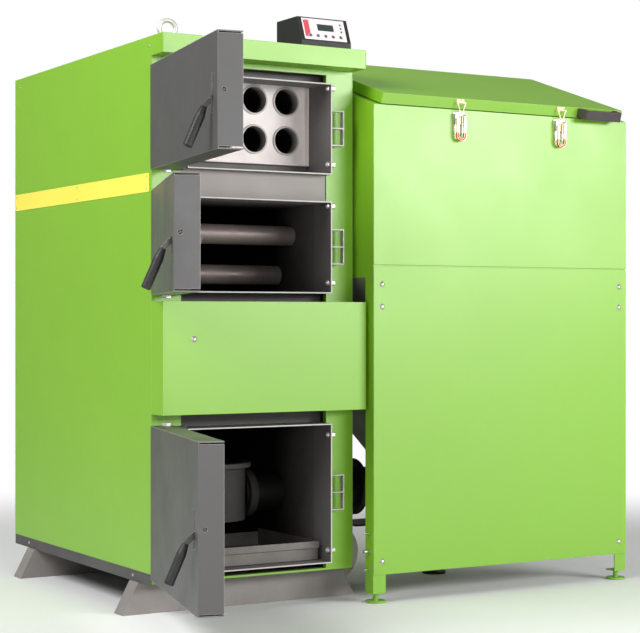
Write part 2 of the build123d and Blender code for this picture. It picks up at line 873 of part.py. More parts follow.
def feeder_tube():
    """Feed tube with its flanges, the pellet inlet and a stand under the far end."""
    x0 = pot_radius - pot_wall
    x1 = feeder_end()
    axis = (feed_axis_y, feed_z)
    pipe = rod(feed_outer, (x0, *axis), (x1, *axis))
    joint = half + feed_flange_from_jacket
    for x in (joint, joint + feed_flange_thick, x1 - feed_flange_thick):
        pipe += rod(feed_flange, (x, *axis), (x + feed_flange_thick, *axis))
    top = funnel_bottom
    t = inlet_wall
    left = outlet_x - outlet_length / 2 - t
    right = outlet_x + outlet_length / 2 + t
    w = outlet_depth / 2 + t
    pipe += block(left, right, feed_axis_y - w, feed_axis_y + w, feed_z - 20, top)
    pipe -= block(left + t, right - t, feed_axis_y - w + t, feed_axis_y + w - t, feed_z, top + 1)
    bore = feed_outer - feed_wall
    pipe -= rod(bore, (x0 - 1, *axis), (x1 + 1, *axis))
    under = feed_z - feed_flange - 6
    pipe += block(joint - 15, x1 + 20, feed_axis_y - 70, feed_axis_y + 70, under - 26, under - 20)
    pipe += block(left, left + 12, feed_axis_y - 50, feed_axis_y + 50, under - 20, feed_z - bore - 3)
    pipe += block(right - 12, right, feed_axis_y - 50, feed_axis_y + 50, under - 20, feed_z - bore - 3)
    pipe += rod(14, (stand_x, feed_axis_y + 20, 8), (stand_x, feed_axis_y + 20, under - 26))
    pipe += rod(stand_radius, (stand_x, feed_axis_y + 20, 0), (stand_x, feed_axis_y + 20, 8))
    return pipe


def auger():
    """Feed screw: a shaft with one helical flight."""
    x0 = pot_radius + 10
    x1 = feeder_end() + 20
    length = outlet_x + outlet_length / 2 - x0
    turns = length / auger_pitch
    base = Plane(origin=(x0, feed_axis_y, feed_z), x_dir=(0, 1, 0), z_dir=(1, 0, 0))
    inner = auger_shaft - 2
    path = Helix(pitch=auger_pitch, height=auger_pitch * turns, radius=(inner + auger_radius) / 2)
    start = path @ 0
    along = path % 0
    section = Plane(origin=start, x_dir=(1, 0, 0), z_dir=along)
    profile = section * Rectangle(auger_radius - inner, auger_flight)
    flight = sweep(profile, path=path, is_frenet=True)
    shaft = rod(auger_shaft, (x0 - 5, feed_axis_y, feed_z), (x1, feed_axis_y, feed_z))
    return shaft + base.location * flight


def gearmotor():
    """Gearbox and motor that turn the feed screw."""
    x0 = feeder_end()
    x1 = x0 + gearbox
    g = gearbox / 2
    axis = (feed_axis_y, feed_z)
    body = block(x0, x1, feed_axis_y - g, feed_axis_y + g, feed_z - g, feed_z + g)
    body = fillet(body.edges().filter_by(Axis.X), 10)
    body -= rod(auger_shaft + hinge_clear, (x0 - 1, *axis), (x0 + 24, *axis))
    body += rod(motor_radius, (x1, *axis), (x1 + motor_length, *axis))
    body += rod(motor_radius + 5, (x1 + motor_length - 50, *axis), (x1 + motor_length, *axis))
    return body


def blower_y():
    """Front face of the blower."""
    return feed_axis_y - 30.0


def blower_housing():
    """Round fan housing with its duct up to the feed tube and its motor behind."""
    y0 = blower_y()
    y1 = y0 + blower_thick
    c = blower_x
    w = blower_wall
    shell = rod(blower_radius, (c, y0, blower_z), (c, y1, blower_z))
    left = c - blower_radius
    duct_top = feed_z - feed_outer * 0.72
    duct = block(left, left + duct_width, y0, y1, blower_z, duct_top)
    shell += duct
    hollow = rod(blower_radius - w, (c, y0 + w, blower_z), (c, y1 - w, blower_z))
    hollow += block(left + w, left + duct_width - w, y0 + w, y1 - w, blower_z, duct_top + 1)
    shell -= hollow
    shell -= rod(34, (c, y0 - 1, blower_z), (c, y0 + w + 1, blower_z))
    shell += rod(42, (c, y1, blower_z), (c, y1 + 70, blower_z))
    shell -= rod(blower_shaft + hinge_clear, (c, y1 - w - 1, blower_z), (c, y1 + 30, blower_z))
    shell -= rod(feed_outer + fit_gap, (half, feed_axis_y, feed_z), (c + 200, feed_axis_y, feed_z))
    return shell


def impeller():
    """Fan wheel with radial blades on the motor's shaft."""
    y0 = blower_y() + blower_wall + 6
    y1 = y0 + impeller_thick
    c = blower_x
    wheel = rod(impeller_radius, (c, y1 - 3, blower_z), (c, y1, blower_z))
    wheel += rod(14, (c, y0 + 6, blower_z), (c, y1, blower_z))
    for i in range(impeller_blades):
        blade = Pos(impeller_radius - 13, 0, 0) * Box(24, impeller_thick, 2)
        place = Pos(c, (y0 + y1) / 2, blower_z) * Rot(0, 360 / impeller_blades * i, 0)
        wheel += place * blade
    wheel += rod(blower_shaft, (c, y1 - 1, blower_z), (c, blower_y() + blower_thick + 28, blower_z))
    return wheel


# Controller

def controller_profile(margin):
    """Outline of the controller case from its side."""
    y0 = cover_front + controller_set
    y1 = y0 + controller_depth
    z0 = jacket_top + margin
    top = jacket_top + controller_height - margin
    return [(y0 + margin, z0), (y1 - margin, z0), (y1 - margin, top),
            (y0 + controller_slope_run + margin, top), (y0 + margin, jacket_top + controller_lip + margin)]


def controller_slope():
    """Plane of the sloped front, with its origin at the lower edge's middle."""
    y0 = cover_front + controller_set
    rise = controller_height - controller_lip
    length = math.hypot(controller_slope_run, rise)
    z_way = (0, -rise / length, controller_slope_run / length)
    return Plane(origin=(controller_x, y0, jacket_top + controller_lip), x_dir=(1, 0, 0), z_dir=z_way), length


def controller_case():
    """Controller housing on the cover, with a recess for its front foil."""
    x0 = controller_x - controller_width / 2
    case = side_prism(controller_profile(0), x0, x0 + controller_width)
    case = fillet(case.edges().filter_by(Axis.X), 2.0)
    plane, length = controller_slope()
    w = controller_width - 2 * face_margin
    h = length - 8
    recess = plane * Pos(0, length / 2, -face_thick / 2 + 0.5) * Box(w + 0.6, h + 0.6, face_thick + 1)
    return case - recess


def controller_face():
    """Foil front of the controller, with the display window and five key domes."""
    plane, length = controller_slope()
    w = controller_width - 2 * face_margin
    h = length - 8
    foil = Pos(0, length / 2, -face_thick / 2) * Box(w, h, face_thick)
    foil += Pos(0.03 * w, length * 0.58, 0.4) * Box(w * 0.44, h * 0.36, 0.8)
    for i in range(5):
        foil += Pos(-w * 0.36 + i * w * 0.18, length * 0.22, 0.4) * Cylinder(6.5, 0.8)
    for i in range(3):
        foil += Pos(w * 0.4, length * (0.46 + 0.15 * i), 0.4) * Cylinder(4, 0.8)
    return plane.location * foil


# Hopper

def hopper_bin():
    """Upper box of the hopper with a sloped top opening, a rim and an upturned neck."""
    t = hopper_sheet
    rise = math.tan(math.radians(hopper_slope))
    run = hopper_front + slope_run
    outer = [(hopper_front, funnel_top), (hopper_front, hopper_front_top), (run, jacket_top),
             (hopper_back, jacket_top), (hopper_back, funnel_top)]
    drop = t / math.cos(math.radians(hopper_slope))
    inner = [(hopper_front + t, funnel_top - 1), (hopper_front + t, hopper_front_top + t * rise - drop),
             (run, jacket_top - drop), (run, jacket_top - t), (hopper_back - t, jacket_top - t),
             (hopper_back - t, funnel_top - 1)]
    box = side_prism(outer, hopper_left, hopper_right)
    box -= side_prism(inner, hopper_left + t, hopper_right - t)
    x0 = hopper_left + rim_side
    x1 = hopper_right - rim_side
    u1 = lid_length - rim_side
    neck = block(x0, x1, rim_side, u1, -t, rim_neck)
    hole = block(x0 + t, x1 - t, rim_side + t, u1 - t, -2 * t, rim_neck + 1)
    box += lid_frame * neck
    box -= lid_frame * hole
    box += block(hopper_left + t, hopper_right - t, hopper_front + t, hopper_front + 2 * t,
                 funnel_top, hopper_split + 2 * t)
    box -= block(hopper_left - 1, hopper_right + 1, hopper_front - 1, hopper_front + t,
                 funnel_top - 1, hopper_split)
    return box


def funnel_prisms(t):
    """Side and front outlines of the funnel, grown by its sheet."""
    x0 = outlet_x - outlet_length / 2
    x1 = outlet_x + outlet_length / 2
    y0 = feed_axis_y - outlet_depth / 2
    y1 = feed_axis_y + outlet_depth / 2
    side_t = t * 1.25
    wide = [(hopper_left + hopper_sheet - t, funnel_top), (hopper_right - hopper_sheet + t, funnel_top),
            (x1 + side_t, funnel_bottom), (x0 - side_t, funnel_bottom)]
    near = hopper_front + 2 * hopper_sheet - t
    deep = [(near, funnel_top), (near, funnel_front_z),
            (y0 - side_t, funnel_bottom), (y1 + side_t, funnel_bottom),
            (hopper_back - hopper_sheet + t, funnel_back_z), (hopper_back - hopper_sheet + t, funnel_top)]
    a = front_prism(wide, hopper_front - 1, hopper_back + 1)
    b = side_prism(deep, hopper_left - 1, hopper_right + 1)
    return a & b


def hopper_funnel():
    """Funnel from the hopper's box down to the feed inlet."""
    return funnel_prisms(hopper_sheet) - funnel_prisms(0)


def hopper_front_panel():
    """Lower front sheet, with its lower edge turned back between the legs."""
    t = hopper_sheet
    top = hopper_split - panel_groove
    x0 = hopper_left
    x1 = hopper_right
    panel = block(x0, x1, hopper_front, hopper_front + t, panel_low, top)
    fold = leg_width + fit_gap
    panel += block(x0 + fold, x1 - fold, hopper_front, hopper_front + panel_fold, panel_low, panel_low + t)
    return panel


def hopper_legs():
    """Four angle legs with a screwed round foot each."""
    legs = []
    t = leg_plate
    skin = hopper_sheet
    for sx, sy in ((0, 0), (1, 0), (0, 1), (1, 1)):
        x = hopper_right if sx else hopper_left
        y = hopper_back if sy else hopper_front + skin
        dx = -1 if sx else 1
        dy = -1 if sy else 1
        z0 = leg_disc_height + leg_screw_height
        high = funnel_top
        xa, xb = sorted((x, x + dx * leg_width))
        ya, yb = sorted((y, y + dy * t))
        leg = block(xa, xb, ya, yb, z0, high)
        xa, xb = sorted((x, x + dx * t))
        ya, yb = sorted((y, y + dy * leg_width))
        leg += block(xa, xb, ya, yb, z0, high)
        leg -= funnel_prisms(hopper_sheet + fit_gap)
        cx = x + dx * leg_width / 2
        cy = y + dy * leg_width / 2
        xa, xb = sorted((x, x + dx * leg_width))
        ya, yb = sorted((y, y + dy * leg_width))
        leg += block(xa, xb, ya, yb, z0, z0 + t)
        leg += rod(leg_screw, (cx, cy, leg_disc_height), (cx, cy, z0))
        leg += rod(leg_disc, (cx, cy, 0), (cx, cy, leg_disc_height))
        legs.append(leg)
    return group(legs)


def hopper_lid():
    """Lid pan with skirts all round and hinge ears at its back."""
    t = lid_sheet
    x0 = hopper_left + lid_inset
    x1 = hopper_right - lid_inset
    w0 = lid_lift
    w1 = lid_lift + lid_skirt
    lid = block(x0, x1, -1, lid_length, w0, w1)
    lid -= block(x0 + t, x1 - t, -1 + t, lid_length - t, w0, w1 - t)
    lid = fillet(lid.edges().filter_by(Axis.Z).group_by(Axis.Y)[0], 2.0)
    for x in (x0 + hinge_inset, x1 - hinge_inset):
        for side in (-1, 1):
            a, b = sorted((x + side * hinge_half, x + side * (hinge_half - lid_ear)))
            ear = block(a, b, lid_length - t, lid_hinge_u, lid_hinge_w - 7, lid_hinge_w + 7)
            ear += rod(7, (a, lid_hinge_u, lid_hinge_w), (b, lid_hinge_u, lid_hinge_w))
            lid += ear
        lid -= rod(lid_pin + hinge_clear, (x - hinge_half - 1, lid_hinge_u, lid_hinge_w),
                   (x + hinge_half + 1, lid_hinge_u, lid_hinge_w))
    return lid_frame * lid


def lid_hinges():
    """Fixed hinge blocks with their pins, on the hopper's rear strip."""
    parts = []
    pin_point = lid_frame * Pos(0, lid_hinge_u, lid_hinge_w)
    y = pin_point.position.Y
    z = pin_point.position.Z
    x0 = hopper_left + lid_inset
    x1 = hopper_right - lid_inset
    for x in (x0 + hinge_inset, x1 - hinge_inset):
        knuckle = hinge_half - lid_ear - 0.5
        hinge = rod(7, (x - knuckle, y, z), (x + knuckle, y, z))
        hinge += block(x - knuckle, x + knuckle, y + 10, y + 46, jacket_top, jacket_top + 5)
        web = [(y, z - 6.9), (y + 14, jacket_top), (y + 14, jacket_top + 5), (y, z + 6.9)]
        hinge += side_prism(web, x - knuckle, x + knuckle)
        hinge += rod(lid_pin, (x - hinge_half - 2, y, z), (x + hinge_half + 2, y, z))
        parts.append(hinge)
    return group(parts)


def lid_handle():
    """Bow handle on the lid's front skirt."""
    x = hopper_right - handle_from_right
    w = handle_width / 2
    z = lid_lift + lid_skirt / 2
    h = handle_bar / 2
    tip = w - handle_taper
    out = -1 - handle_reach
    near = out + handle_thick
    outline = [(x - w, -1), (x - tip, out), (x + tip, out), (x + w, -1), (x + w - handle_leg, -1),
               (x + tip - handle_leg, near), (x - tip + handle_leg, near), (x - w + handle_leg, -1)]
    face = make_face(Polyline(*[(a, b, z - h) for a, b in outline], close=True))
    bow = extrude(face, handle_bar, dir=(0, 0, 1))
    corners = bow.edges().filter_by(Axis.Z).group_by(Axis.Y)[0]
    bow = fillet(corners, 12)
    return lid_frame * bow


# Toggle latches of the hopper lid

def latch_x(i):
    """Middle of one latch."""
    return hopper_left + latch_places[i]


def latch_pivot():
    """Y and Z of the lever's pivot."""
    return hopper_front - latch_pivot_out, hopper_front_top - latch_pivot_down


def latch_bases():
    """Latch plates with their ears and pivot pins, on the hopper's front."""
    bases = []
    y, z = latch_pivot()
    f = hopper_front
    for i in range(len(latch_places)):
        x = latch_x(i)
        base = block(x - latch_half, x + latch_half, f - latch_plate, f,
                     hopper_front_top - latch_low, hopper_front_top - latch_high)
        for side in (-1, 1):
            a, b = sorted((x + side * latch_ear_half, x + side * (latch_ear_half - latch_ear)))
            base += block(a, b, y - 5, f, z - 10, z + 10)
        base += rod(latch_pin, (x - latch_ear_half - 1, y, z), (x + latch_ear_half + 1, y, z))
        bases.append(base)
    return group(bases)


def latch_lever(i):
    """Toggle lever: two rails that carry the bail, joined by a round loop at the foot."""
    y, z = latch_pivot()
    x = latch_x(i)
    w = latch_lever_half()
    r = w - lever_rail
    foot = z - lever_length + w
    lever = block(x - w, x + w, y - lever_deep, y, foot, z - lever_top_down)
    lever += rod(w, (x, y - lever_deep, foot), (x, y, foot))
    lever -= block(x - r, x + r, y - lever_deep - 1, y + 1, foot, z + 1)
    lever -= rod(r, (x, y - lever_deep - 1, foot), (x, y + 1, foot))
    for side in (-1, 1):
        a, b = sorted((x + side * w, x + side * r))
        lever += rod(5.5, (a, y, z), (b, y, z))
    lever -= rod(latch_pin + hinge_clear, (x - w - 1, y, z), (x + w + 1, y, z))
    by, bz = bail_pivot()
    lever -= rod(bail_wire + hinge_clear, (x - w - 1, by, bz), (x + w + 1, by, bz))
    return lever


def latch_lever_half():
    """Half of the lever's width, between the ears of its base."""
    return latch_ear_half - latch_ear - lever_side_gap


def bail_pivot():
    """Y and Z where the bail turns in the lever."""
    y, z = latch_pivot()
    return y - bail_out, z - bail_drop


def catch_middle():
    """Height of the catch lip's middle over the slope."""
    return lid_lift + lid_skirt - catch_lip_from_top - catch_lip_thick / 2


def latch_bail(i):
    """Wire bail from the lever up to the catch on the lid."""
    x = latch_x(i)
    by, bz = bail_pivot()
    reach = 1 + catch_plate + catch_lip + bail_gap + bail_wire
    top = lid_frame * Pos(0, -reach, catch_middle())
    top_y = top.position.Y
    top_z = top.position.Z
    w = latch_lever_half()
    knee_z = latch_pivot()[1] + bail_knee
    knee_y = by + (top_y - by) * (knee_z - bz) / (top_z - bz)
    points = [(x - w + 3, by, bz), (x - bail_low_half, by, bz), (x - bail_low_half, knee_y, knee_z),
              (x - bail_top_half, top_y, top_z), (x + bail_top_half, top_y, top_z),
              (x + bail_low_half, knee_y, knee_z), (x + bail_low_half, by, bz), (x + w - 3, by, bz)]
    wire = rod(bail_wire, points[0], points[1])
    for a, b in zip(points[1:-1], points[2:]):
        wire += rod(bail_wire, a, b)
        wire += Pos(*a) * Sphere(bail_wire)
    wire += Pos(*points[-2]) * Sphere(bail_wire)
    return wire


def latch_catches():
    """Catch plates on the lid's skirt, each with a lip over its bail."""
    parts = []
    for i in range(len(latch_places)):
        x = latch_x(i)
        mid = catch_middle()
        face = -1 - catch_plate
        lip = catch_lip_thick / 2
        catch = block(x - catch_half, x + catch_half, face, -1, mid - catch_under, mid + catch_over)
        catch += block(x - catch_lip_half, x + catch_lip_half, face - catch_lip, face, mid - lip, mid + lip)
        parts.append(lid_frame * catch)
    return group(parts)


# Fasteners

def dome(place, radius, height):
    """Low domed screw head, with its flat side at the place's origin."""
    ball = (radius * radius + height * height) / (2 * height)
    cap = Pos(0, 0, height - ball) * Sphere(ball)
    return place * (cap & Pos(0, 0, height / 2) * Box(2 * radius, 2 * radius, height))


def jacket_screws():
    """Screw and rivet heads of the jacket and hopper, and the studs on the near leg."""
    heads = []
    near = front + 15.0
    top = jacket_top - skirt_height / 2
    rail = (rail_bottom + panel_bottom) / 2
    places = ((near, top), (back - 40, top), (front + 130, rail), (back - 130, rail))
    for y, z in places:
        heads.append(dome(Pos(-half, y, z) * Rot(0, -90, 0), screw_head, screw_height))
        heads.append(dome(Pos(half, y, z) * Rot(0, 90, 0), screw_head, screw_height))
    for y in (front + band_margin + 14, front + jacket_depth / 2, back - 16):
        for z in (band_bottom + 10, band_bottom + band_height - 10):
            heads.append(dome(Pos(-half - band_thick, y, z) * Rot(0, -90, 0), 3.5, 1.5))
    heads.append(dome(Pos(99 - half, cover_front, 805) * Rot(90, 0, 0), dome_head, dome_height))
    side = 30.0
    for x in (hopper_left + side, hopper_right - side):
        for z in (hopper_split - 60, hopper_split - 128, panel_low + 40):
            heads.append(dome(Pos(x, hopper_front, z) * Rot(90, 0, 0), dome_head, dome_height))
    for i, z in enumerate(stud_heights):
        radius = 6.0 if i == 1 else 2.5
        y = hopper_front + hopper_sheet + leg_width / 2
        heads.append(rod(radius, (hopper_left - stud_reach, y, z), (hopper_left, y, z)))
    return group(heads)


def main():
    """Build every piece and write its file."""
    os.makedirs("parts", exist_ok=True)
    save("vessel_shell", vessel_shell())
    save("vessel_front", vessel_front())
    save("firebox", firebox())
    save("tube_plates", tube_plates())
    save("fire_tubes", fire_tubes())
    save("cross_tubes", cross_tubes())
    save("flue_outlet", flue_outlet())
    save("water_stubs", water_stubs())
    save("side_panel_left", side_panel(-1))
    save("side_panel_right", side_panel(1))
    save("top_cover", top_cover())
    save("rear_panel", rear_panel())
    save("front_frame", front_frame())
    save("burner_cover", burner_cover())
    save("side_band", side_band())
    save("base_rails", base_rails())
    save("front_foot", foot(-foot_depth / 2))
    save("rear_foot", foot(back - rear_foot_inset))
    save("lifting_eyes", lifting_eyes())
    for name, low, high, angle, neck_low, neck_high, bolt_top, bolt_low in doors:
        place = door_place(angle)
        save(name + "_door_skin", place * door_skin(low, high))
        save(name + "_door_board", place * door_board(low, high))
        save(name + "_door_seal", place * door_seal(neck_low, neck_high))
        save(name + "_door_lever", place * door_lever(low, high))
        save(name + "_door_grip", place * door_grip(low, high))
    save("hinge_lugs", hinge_lugs())
    save("keepers", keepers())
    save("collar_bolts", collar_bolts())
    save("ash_drawer", ash_drawer())
    save("burner_pot", burner_pot())
    save("feeder_tube", feeder_tube())
    save("auger", auger())
    save("gearmotor", gearmotor())
    save("blower_housing", blower_housing())
    save("impeller", impeller())
    save("controller_case", controller_case())
    save("controller_face", controller_face())
    save("hopper_bin", hopper_bin())
    save("hopper_funnel", hopper_funnel())
    save("hopper_front_panel", hopper_front_panel())
    save("hopper_legs", hopper_legs())
    save("hopper_lid", hopper_lid())
    save("lid_hinges", lid_hinges())
    save("lid_handle", lid_handle())
    save("latch_bases", latch_bases())
    save("latch_catches", latch_catches())
    for i, side in enumerate(("left", "right")):
        save("latch_lever_" + side, latch_lever(i))
        save("latch_bail_" + side, latch_bail(i))
    save("jacket_screws", jacket_screws())


main()
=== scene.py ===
import math

import bmesh
import bpy
from mathutils import Matrix, Vector


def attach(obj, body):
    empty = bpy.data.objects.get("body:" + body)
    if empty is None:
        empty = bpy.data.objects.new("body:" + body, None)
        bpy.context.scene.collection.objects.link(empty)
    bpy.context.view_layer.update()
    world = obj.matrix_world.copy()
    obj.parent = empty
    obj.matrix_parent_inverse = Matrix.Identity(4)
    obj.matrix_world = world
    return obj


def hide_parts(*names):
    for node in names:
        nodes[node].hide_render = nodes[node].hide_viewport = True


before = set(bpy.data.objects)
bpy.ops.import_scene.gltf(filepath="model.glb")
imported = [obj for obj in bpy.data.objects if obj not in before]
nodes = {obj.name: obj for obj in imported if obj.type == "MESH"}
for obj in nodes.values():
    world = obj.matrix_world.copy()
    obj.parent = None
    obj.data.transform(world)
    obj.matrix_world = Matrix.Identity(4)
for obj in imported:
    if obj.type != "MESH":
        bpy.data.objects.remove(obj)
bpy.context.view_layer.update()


# Jacket: folded steel sheets in light green powder coat. Side panels, top cover with its
# skirt, rear panel, front frame and the box shaped burner cover. The coat has a fine orange
# peel and a few dull patches, and its edges are painted paler as a highlight on the bends.

def paint(r, g, b):
    """A colour read as 0 to 255, as a linear colour."""
    out = []
    for v in (r, g, b):
        v = v / 255
        out.append(v / 12.92 if v <= 0.04045 else ((v + 0.055) / 1.055) ** 2.4)
    return (*out, 1.0)


def new_group(name, inputs, outputs):
    """An empty shader node group with named sockets."""
    group = bpy.data.node_groups.new(name, "ShaderNodeTree")
    kinds = {"c": "NodeSocketColor", "f": "NodeSocketFloat", "v": "NodeSocketVector"}
    for label, kind, value in inputs:
        socket = group.interface.new_socket(name=label, in_out="INPUT", socket_type=kinds[kind])
        if value is not None:
            socket.default_value = value
    for label, kind in outputs:
        group.interface.new_socket(name=label, in_out="OUTPUT", socket_type=kinds[kind])
    start = group.nodes.new("NodeGroupInput")
    end = group.nodes.new("NodeGroupOutput")
    return group, start, end


def node(tree, kind, **settings):
    """A node with its properties set; keys such as in_Scale set an input."""
    n = tree.nodes.new(kind)
    for key, value in settings.items():
        if key.startswith("in_"):
            n.inputs[key[3:].replace("_", " ")].default_value = value
        else:
            setattr(n, key, value)
    return n


def math_node(tree, operation, a, b=None, c=None, clamp=False):
    """A math node whose inputs are sockets or numbers."""
    n = tree.nodes.new("ShaderNodeMath")
    n.operation = operation
    n.use_clamp = clamp
    for i, value in enumerate((a, b, c)):
        if value is None:
            continue
        if isinstance(value, (int, float)):
            n.inputs[i].default_value = value
        else:
            tree.links.new(value, n.inputs[i])
    return n.outputs[0]


def mix_node(tree, factor, a, b):
    """A colour mix whose inputs are sockets or values."""
    n = tree.nodes.new("ShaderNodeMix")
    n.data_type = "RGBA"
    for i, value in ((0, factor), (6, a), (7, b)):
        if isinstance(value, (int, float, tuple)):
            n.inputs[i].default_value = value
        else:
            tree.links.new(value, n.inputs[i])
    return n.outputs[2]


finish_group, start, end = new_group(
    "uneven_finish",
    [("Colour", "c", None), ("Patch Colour", "c", None), ("Patch Amount", "f", 0.2),
     ("Patch Scale", "f", 4.0), ("Grain Scale", "f", 400.0), ("Roughness", "f", 0.4),
     ("Roughness Spread", "f", 0.1)],
    [("Colour", "c"), ("Roughness", "f"), ("Height", "f")])
coords = node(finish_group, "ShaderNodeTexCoord")
patch = node(finish_group, "ShaderNodeTexNoise", in_Detail=5.0, in_Roughness=0.6)
grain = node(finish_group, "ShaderNodeTexNoise", in_Detail=3.0, in_Roughness=0.5)
for target, socket in ((patch, "Patch Scale"), (grain, "Grain Scale")):
    finish_group.links.new(coords.outputs["Object"], target.inputs["Vector"])
    finish_group.links.new(start.outputs[socket], target.inputs["Scale"])
spread = node(finish_group, "ShaderNodeMapRange", in_From_Min=0.35, in_From_Max=0.7)
finish_group.links.new(patch.outputs["Fac"], spread.inputs["Value"])
amount = math_node(finish_group, "MULTIPLY", spread.outputs[0], start.outputs["Patch Amount"], clamp=True)
mixed = mix_node(finish_group, amount, start.outputs["Colour"], start.outputs["Patch Colour"])
finish_group.links.new(mixed, end.inputs["Colour"])
shift = math_node(finish_group, "MULTIPLY", spread.outputs[0], start.outputs["Roughness Spread"])
rough = math_node(finish_group, "ADD", start.outputs["Roughness"], shift, clamp=True)
finish_group.links.new(rough, end.inputs["Roughness"])
finish_group.links.new(grain.outputs["Fac"], end.inputs["Height"])

edge_group, start, end = new_group(
    "edge_mask", [("Width", "f", 0.002), ("Gain", "f", 6.0)], [("Mask", "f"), ("Normal", "v")])
rounded = node(edge_group, "ShaderNodeBevel", samples=6)
geometry = node(edge_group, "ShaderNodeNewGeometry")
edge_group.links.new(start.outputs["Width"], rounded.inputs["Radius"])
dot = node(edge_group, "ShaderNodeVectorMath", operation="DOT_PRODUCT")
edge_group.links.new(rounded.outputs[0], dot.inputs[0])
edge_group.links.new(geometry.outputs["Normal"], dot.inputs[1])
away = math_node(edge_group, "SUBTRACT", 1.0, dot.outputs["Value"])
gained = math_node(edge_group, "MULTIPLY", away, start.outputs["Gain"], clamp=True)
edge_group.links.new(gained, end.inputs["Mask"])
edge_group.links.new(rounded.outputs[0], end.inputs["Normal"])


def surface(name, colour, patch_colour, patch_amount, patch_scale, grain_scale, roughness, spread,
            bump, edge_colour=None, edge_amount=0.0, edge_width=0.002, metallic=0.0, coat=0.0,
            gloss=0.5, extra=None):
    """A material from the finish and edge groups; extra turns the tree and a colour into a colour."""
    material = bpy.data.materials.new(name)
    material.use_nodes = True
    tree = material.node_tree
    shader = tree.nodes["Principled BSDF"]
    finish = node(tree, "ShaderNodeGroup", node_tree=finish_group)
    values = {"Colour": colour, "Patch Colour": patch_colour, "Patch Amount": patch_amount,
              "Patch Scale": patch_scale, "Grain Scale": grain_scale, "Roughness": roughness,
              "Roughness Spread": spread}
    for label, value in values.items():
        finish.inputs[label].default_value = value
    edges = node(tree, "ShaderNodeGroup", node_tree=edge_group)
    edges.inputs["Width"].default_value = edge_width
    out = finish.outputs["Colour"]
    if edge_colour:
        share = math_node(tree, "MULTIPLY", edges.outputs["Mask"], edge_amount, clamp=True)
        out = mix_node(tree, share, out, edge_colour)
    if extra:
        out = extra(tree, out)
    tree.links.new(out, shader.inputs["Base Color"])
    tree.links.new(finish.outputs["Roughness"], shader.inputs["Roughness"])
    bumps = node(tree, "ShaderNodeBump", in_Strength=bump, in_Distance=0.001)
    tree.links.new(finish.outputs["Height"], bumps.inputs["Height"])
    tree.links.new(edges.outputs["Normal"], bumps.inputs["Normal"])
    tree.links.new(bumps.outputs[0], shader.inputs["Normal"])
    shader.inputs["Metallic"].default_value = metallic
    shader.inputs["Specular IOR Level"].default_value = gloss
    shader.inputs["Coat Weight"].default_value = coat
    shader.inputs["Coat Roughness"].default_value = 0.2
    return material


def dress(material, *names):
    """CAD nodes get a material."""
    for name in names:
        mesh = nodes[name].data
        mesh.materials.clear()
        mesh.materials.append(material)


# The paler edge colour is a painted highlight along the sheets' bends.
green_coat = surface("green_powder_coat", paint(124, 180, 26), patch_colour=paint(115, 171, 22),
                     patch_amount=0.35, patch_scale=2.2, grain_scale=900, roughness=0.37, spread=0.08,
                     bump=0.12, edge_colour=paint(196, 230, 150), edge_amount=0.4, edge_width=0.002,
                     gloss=0.95)
dress(green_coat, "side_panel_left", "side_panel_right", "top_cover", "rear_panel", "front_frame",
      "burner_cover")


# Trim band: a glossy yellow strip of thin sheet along the left side panel, stuck on and riveted.
# It is bare.

yellow_trim = surface("yellow_trim", paint(250, 234, 84), patch_colour=paint(244, 224, 72),
                      patch_amount=0.4, patch_scale=3.0, grain_scale=300, roughness=0.28, spread=0.06,
                      bump=0.03, edge_colour=paint(255, 246, 170), edge_amount=0.3, edge_width=0.001,
                      coat=0.3)
dress(yellow_trim, "side_band")


# Small fasteners: screws, rivets, dome bolts and studs of zinc plated steel, a little dull. The
# lid's hinges and the latches' bases have the same plating, and the necks' bolts are brighter.

zinc = surface("zinc_plated_steel", paint(205, 203, 198), patch_colour=paint(168, 165, 160),
               patch_amount=0.5, patch_scale=60.0, grain_scale=900, roughness=0.28, spread=0.16,
               bump=0.08, edge_colour=paint(235, 235, 232), edge_amount=0.5, edge_width=0.0008,
               metallic=0.9)
dress(zinc, "jacket_screws", "lid_hinges", "latch_bases")
bright_zinc = surface("bright_zinc_bolts", paint(226, 223, 219), patch_colour=paint(186, 183, 178),
                      patch_amount=0.4, patch_scale=70.0, grain_scale=900, roughness=0.3, spread=0.14,
                      bump=0.08, edge_colour=paint(246, 246, 244), edge_amount=0.5, edge_width=0.0012,
                      metallic=0.6)
dress(bright_zinc, "collar_bolts")


# Base: two folded rails in dark grey paint under the jacket, on two pressed feet in paler grey
# paint with scuffed edges.

rail_paint = surface("dark_grey_paint", paint(78, 76, 76), patch_colour=paint(60, 58, 58),
                     patch_amount=0.5, patch_scale=6.0, grain_scale=500, roughness=0.5, spread=0.12,
                     bump=0.15, edge_colour=paint(120, 118, 116), edge_amount=0.4)
dress(rail_paint, "base_rails")
foot_paint = surface("grey_foot_paint", paint(146, 140, 137), patch_colour=paint(116, 110, 106),
                     patch_amount=0.5, patch_scale=7.0, grain_scale=500, roughness=0.45, spread=0.14,
                     bump=0.18, edge_colour=paint(178, 174, 170), edge_amount=0.5)
dress(foot_paint, "front_foot", "rear_foot")


# Vessel front: welded steel plate, painted heatproof black. The necks' front edges are ground
# bright where the rope seals land, and the plate between two necks is a paler grey.

neck_front = -0.1498
bridge_front = -0.1085
bridge_back = -0.1000
bridge_low = 1.2195
bridge_high = 1.2998
ground_steel = paint(196, 192, 188)
bridge_grey = paint(158, 152, 148)


def axes(tree):
    """A node whose X, Y and Z outputs are the place of the point."""
    place = node(tree, "ShaderNodeTexCoord")
    split = node(tree, "ShaderNodeSeparateXYZ")
    tree.links.new(place.outputs["Object"], split.inputs[0])
    return split


